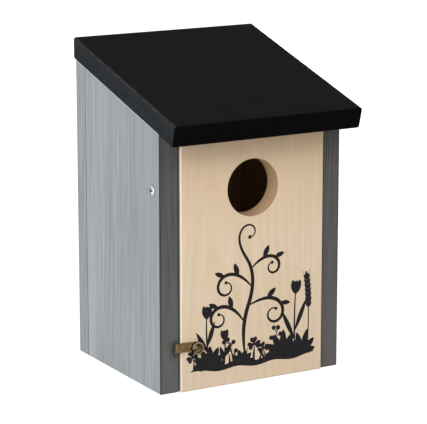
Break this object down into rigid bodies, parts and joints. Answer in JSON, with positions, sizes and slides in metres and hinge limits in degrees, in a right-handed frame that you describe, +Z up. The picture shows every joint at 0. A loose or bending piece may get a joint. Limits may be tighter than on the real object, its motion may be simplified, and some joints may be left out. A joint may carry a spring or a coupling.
{
  "type": "bird nest box",
  "caption": "Wooden nest box with a sloping overhanging roof, a round entrance and a front door that pivots outwards, held by a small metal turn button.",
  "frame": {"origin": "middle of the base, on the underside of the floor board, midway between the front edges of the side boards and the back face", "axes": "+Z up along the height, +X to the right seen from the front, the entrance looks along -Y and the back face looks along +Y"},
  "size_m": [0.154, 0.1568, 0.242],
  "materials": {
    "grey_wood": "light grey stain on softwood, matte, grain showing",
    "black_wood": "opaque matte black paint",
    "pale_wood": "clear matte varnish on pale softwood, with a charcoal print",
    "zinc_steel": "bright zinc plate",
    "aged_bronze": "antique bronze plate, rubbed bright on the edges",
    "dowel_wood": "bare beech"
  },
  "bodies": {
    "box": {"left_side": "grey_wood", "right_side": "grey_wood", "back_board": "grey_wood", "floor_board": "grey_wood", "roof_board": "black_wood", "back_screws": "zinc_steel", "roof_dowels": "dowel_wood", "floor_dowels": "dowel_wood"},
    "door": {"front_door": "pale_wood", "hinge_screws": "zinc_steel", "latch_screw": "aged_bronze"},
    "button": {"latch_bar": "aged_bronze"}
  },
  "joints": [
    {"name": "door_swing", "type": "hinge", "parent": "box", "child": "door", "pos_m": [0, -0.055, 0.148], "axis": [-1, 0, 0], "range_deg": [0, 120]},
    {"name": "button_turn", "type": "hinge", "parent": "door", "child": "button", "pos_m": [-0.0466, -0.0682, 0.0321], "axis": [0, 1, 0], "continuous": true}
  ]
}
